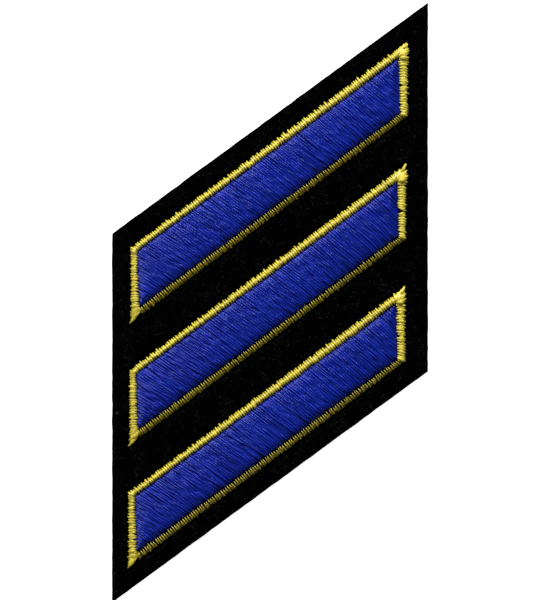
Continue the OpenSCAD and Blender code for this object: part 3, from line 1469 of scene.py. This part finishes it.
def felt_grid():
    """Flat grid of the felt, its columns upright and its rows slanting."""
    columns = round((felt_high[0] - felt_low[0]) / FELT_STEP)
    side = felt_outline[3] - felt_outline[0]
    rows = round(np.linalg.norm(side) / FELT_STEP)
    s = np.linspace(0, 1, columns + 1)[:, None, None]
    t = np.linspace(0, 1, rows + 1)[None, :, None]
    lower = felt_outline[0] + (felt_outline[1] - felt_outline[0]) * s
    return lower + side * t


rng = np.random.default_rng(FELT_SEED)
flat = felt_grid()
x, y = flat[..., 0], flat[..., 1]
edge = -distance_outside(felt_outline, flat)
frayed = RELIEF * ripple(rng, x, y, *FRAY_WAVES)
frayed = frayed * (edge < RIM_POINTS * FELT_STEP)
lumps = RELIEF * ripple(rng, x, y, *FINE_WAVES)
lumps = lumps + RELIEF * ripple(rng, x, y, *BROAD_WAVES)
rounded = RIM_ROUND * np.clip(1 - edge / (RIM_BREADTH * FELT_STEP), 0, 1)
top = with_height(
    flat + unit(flat - flat.mean(axis=(0, 1))) * frayed[..., None],
    FELT_TOP + lumps - TOP_ROOM - rounded - felt_dip(flat),
)
bottom = top.copy()
bottom[..., 2] = np.maximum(FLOOR_ROOM, UNDER_ROUND * rounded)
points, faces = closed_sheet(top, bottom)
felt = new_piece("felt", points, faces, wool_felt)

# %% [markdown]
# ## Padding under the border
#
# A raised border is stitched over a narrow strip of padding. Where two gold
# stitches part, one sees only darkness between them: the black felt, and shade.
# So the strip is of the same black felt, and in those gaps it is partly painted
# shade. It is a closed ring that follows the border's section, a thread's
# thickness lower.

# %% Ring of black felt under each border, partly painted shade between stitches
# Points of the ring's section, as shares of the way in: up over the top and
# then the two corners of its foot
STRIP_PLACES = np.array((0.12, 0.25, 0.4, 0.55, 0.7, 0.82, 0.9, 0.9, 0.12))
STRIP_RIDGE, STRIP_BULGE = 0.8, 1.25
STRIP_UNDER = 0.3
STRIP_FOOT = 0.3


def shade_strip(outline, inner):
    """Points and faces of the ring, its section carried round the stripe."""
    height = border_height(STRIP_PLACES, STRIP_RIDGE, STRIP_BULGE)
    height = height - STRIP_UNDER
    height[-2:] = -STRIP_FOOT
    flat = outline[:, None] + (inner - outline)[:, None] * STRIP_PLACES[:, None]
    height = np.broadcast_to(FELT_TOP + height, flat.shape[:2])
    index = np.arange(height.size).reshape(height.shape)
    right, up = np.roll(index, -1, axis=1), np.roll(index, -1, axis=0)
    far = np.roll(right, -1, axis=0)
    faces = np.stack([index, up, far, right], axis=-1).reshape(-1, 4)
    return with_height(flat, height).reshape(-1, 3), [faces]


border_strips = []
for n in STRIPES:
    points, faces = shade_strip(stripe_outlines[n], inner_outlines[n])
    border_strips.append(new_piece(f"shade_strip_{n}", points, faces, wool_felt))

# %% [markdown]
# ## Where loose fibres lie
#
# What makes felt look like wool and not like rubber is its bloom of loose
# fibres. They lie on the bare felt, thicker in some patches, and thickest just
# below each stripe, where the needle roughs up the felt.

# %% Places of the fibres
FIBRE_COUNT = 9000
TRIES_EACH = 8
PATCH_WAVES = (0.9, 6, 60)
# How much more likely fibres are just below a stripe, and how far down
ROUGHED, ROUGHED_REACH = 1.4, 0.9
# What a place has to reach to get a fibre, and how much chance is in that
PATCH_LEVEL, PATCH_CHANCE = 0.7, 0.6
CLEAR_OF_STRIPES = 0.1
FIBRE_SEED = 31


def below_stripes(places):
    """1 just below a stripe and 0 elsewhere."""
    near = np.zeros(len(places))
    for outline in stripe_outlines.values():
        start, along, inward, length = side_frame(outline, LOWER_SIDE)
        gone = (places - start) @ along
        under = -(places - start) @ inward
        beside = (gone > 0) & (gone < length)
        near[beside & (under > 0) & (under < ROUGHED_REACH)] = 1
    return near


def fibre_places(rng):
    """Starting points on the bare felt."""
    spread = rng.uniform(0, 1, (TRIES_EACH * FIBRE_COUNT, 2))
    corner, right, _, upper = felt_outline
    places = corner + spread[:, :1] * (right - corner)
    places = places + spread[:, 1:] * (upper - corner)
    patchy = ripple(rng, places[:, 0], places[:, 1], *PATCH_WAVES)
    patchy = patchy + ROUGHED * below_stripes(places)
    grown = patchy > rng.normal(PATCH_LEVEL, PATCH_CHANCE, len(places))
    bare = distance_to_stripes(places) > CLEAR_OF_STRIPES
    return places[bare & grown][:FIBRE_COUNT]


rng = np.random.default_rng(FIBRE_SEED)
fuzz_places = fibre_places(rng)
print("fibres grow at", len(fuzz_places), "places")

# %% [markdown]
# ## Loose fibres
#
# Each fibre is a thin closed hair that lies curled on the surface. A few stand
# up or stick out over the cut edges. Most are as black as the felt, and a few
# are paler. One speck of pale lint lies near the left edge, beside the lower
# half of the middle stripe: a few thicker hairs, curled up small.

# %% Fuzz and lint
FIBRE_POINTS = 4
FIBRE_SIDES = 3
FIBRE_CURL = 2.2
FIBRE_LENGTHS = (0.25, 0.8)
FIBRE_RADII = (0.009, 0.015)
# How high the fibres arch, how many of them stand up, and how high these do
FIBRE_RISES = (0.03, 0.2)
STANDING_SHARE, STANDING_RISES = 0.04, (0.1, 0.5)
# How far the ends sink into the felt, and how fast a fibre droops over an edge
FIBRE_SINK, EDGE_DROOP = 0.03, 0.3
LINT_PLACE = np.array((-24.2, -17.5))
LINT_FIBRES = 8
LINT_SHARE = 0.35
LINT_RADIUS = 0.03
LINT_TINT = 1.15
# The hue of the fibres, the darkest tone of it, how much is added for the
# palest fibre, and the power of the tint that keeps pale fibres few
FIBRE_HUE = (0.85, 1.0, 0.92)
DARKEST, PALER, PALE_POWER = 0.0015, 0.045, 6


def fibre_paths(places, rng):
    """Curled paths that rise a little from the felt and come back."""
    count = len(places)
    heading = rng.uniform(0, 2 * np.pi, count)
    curl = rng.normal(0, FIBRE_CURL, count)
    length = rng.uniform(*FIBRE_LENGTHS, count)
    share = np.linspace(0, 1, FIBRE_POINTS)
    turn = heading[:, None] + curl[:, None] * share
    step = (length / (FIBRE_POINTS - 1))[:, None, None]
    steps = step * np.stack([np.cos(turn), np.sin(turn)], axis=-1)
    flat = places[:, None] + np.cumsum(steps, axis=1) - steps[:, :1]
    rise = rng.uniform(*FIBRE_RISES, count)[:, None] * np.sin(np.pi * share)
    stands = rng.uniform(size=count) < STANDING_SHARE
    standing = np.where(stands, rng.uniform(*STANDING_RISES, count), 0)
    rise = rise + standing[:, None] * share
    height = FELT_TOP - FIBRE_SINK - felt_dip(flat) + rise
    off = np.clip(distance_outside(felt_outline, flat), 0, None)
    return with_height(flat, height - EDGE_DROOP * off)


wool_fibre, tree, shader = new_material("wool fibre")
pale = math_node(tree, "POWER", strand_values(tree)[TINT], PALE_POWER)
tone = math_node(tree, "MULTIPLY_ADD", pale, PALER, DARKEST)
dye = add_node(tree, "Group", {
    "Color": scale_node(tree, FIBRE_HUE, tone),
    "Patch": 5,
    "Patch spread": 0.6,
}, node_tree=dye_group)
fill_inputs(shader, {
    "Base Color": dye.outputs["Color"],
    "Roughness": 0.8,
    "Specular IOR Level": 0.05,
})

paths = fibre_paths(fuzz_places, rng)
thick = rng.uniform(*FIBRE_RADII, (len(paths), 1))
fuzz = lay_strands(paths, thick, thick, FIBRE_SIDES, rng)
paths = fibre_paths(np.tile(LINT_PLACE, (LINT_FIBRES, 1)), rng)
paths[..., :2] = LINT_PLACE + LINT_SHARE * (paths[..., :2] - LINT_PLACE)
lint = lay_strands(paths, LINT_RADIUS, LINT_RADIUS, FIBRE_SIDES, rng)
lint[2][:, TINT] = LINT_TINT
points, faces, strand = join_parts([fuzz, lint])
felt_fuzz = new_piece("felt_fuzz", points, faces, wool_fibre, strand)

# %% [markdown]
# ## Floor
#
# The photograph's ground is pure white and shows no shadow. The floor is pale
# and glows faintly, like a light table, so that it stays white next to the
# black felt.

# %% Pale floor
FLOOR_HALF = 3
FLOOR_CORNERS = ((-1, -1), (1, -1), (1, 1), (-1, 1))
floor_mesh = bpy.data.meshes.new("floor")
floor_mesh.from_pydata(
    [(x * FLOOR_HALF, y * FLOOR_HALF, 0) for x, y in FLOOR_CORNERS],
    [], [(0, 1, 2, 3)],
)
floor = add_object("floor", floor_mesh)
floor_paint, tree, shader = new_material("pale floor")
fill_inputs(shader, {
    "Base Color": (0.9, 0.9, 0.9, 1),
    "Roughness": 0.9,
    "Emission Color": WHITE,
    "Emission Strength": 1.0,
})
floor_mesh.materials.append(floor_paint)
print("floor:", 2 * FLOOR_HALF, "metres square")

# %% [markdown]
# ## Handing the pieces over
#
# Every piece rides on the patch's one body, the CAD solids that it replaces are
# hidden, and its slot name is printed. The felt is the only cloth: a slanted
# cut of 29.2 square centimetres out of a rectangle of 50 by 95 mm.

# %% Bodies and hidden solids
def hand_over(piece, slot, *nodes):
    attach(piece, "root")
    if nodes:
        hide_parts(*nodes)
    print(f"{piece.name}: slot {slot}, in place of", nodes or "nothing")


hand_over(felt, "felt", "felt_backing")
hand_over(felt_fuzz, "felt")
for n, border, strip, satin, padding in zip(
    STRIPES, gold_borders, border_strips, blue_satins, blue_paddings
):
    hand_over(border, "gold_thread", f"stripe_{n}_border")
    hand_over(strip, "felt", f"stripe_{n}_border")
    hand_over(satin, "blue_thread", f"stripe_{n}_fill")
    hand_over(padding, "blue_thread", f"stripe_{n}_fill")
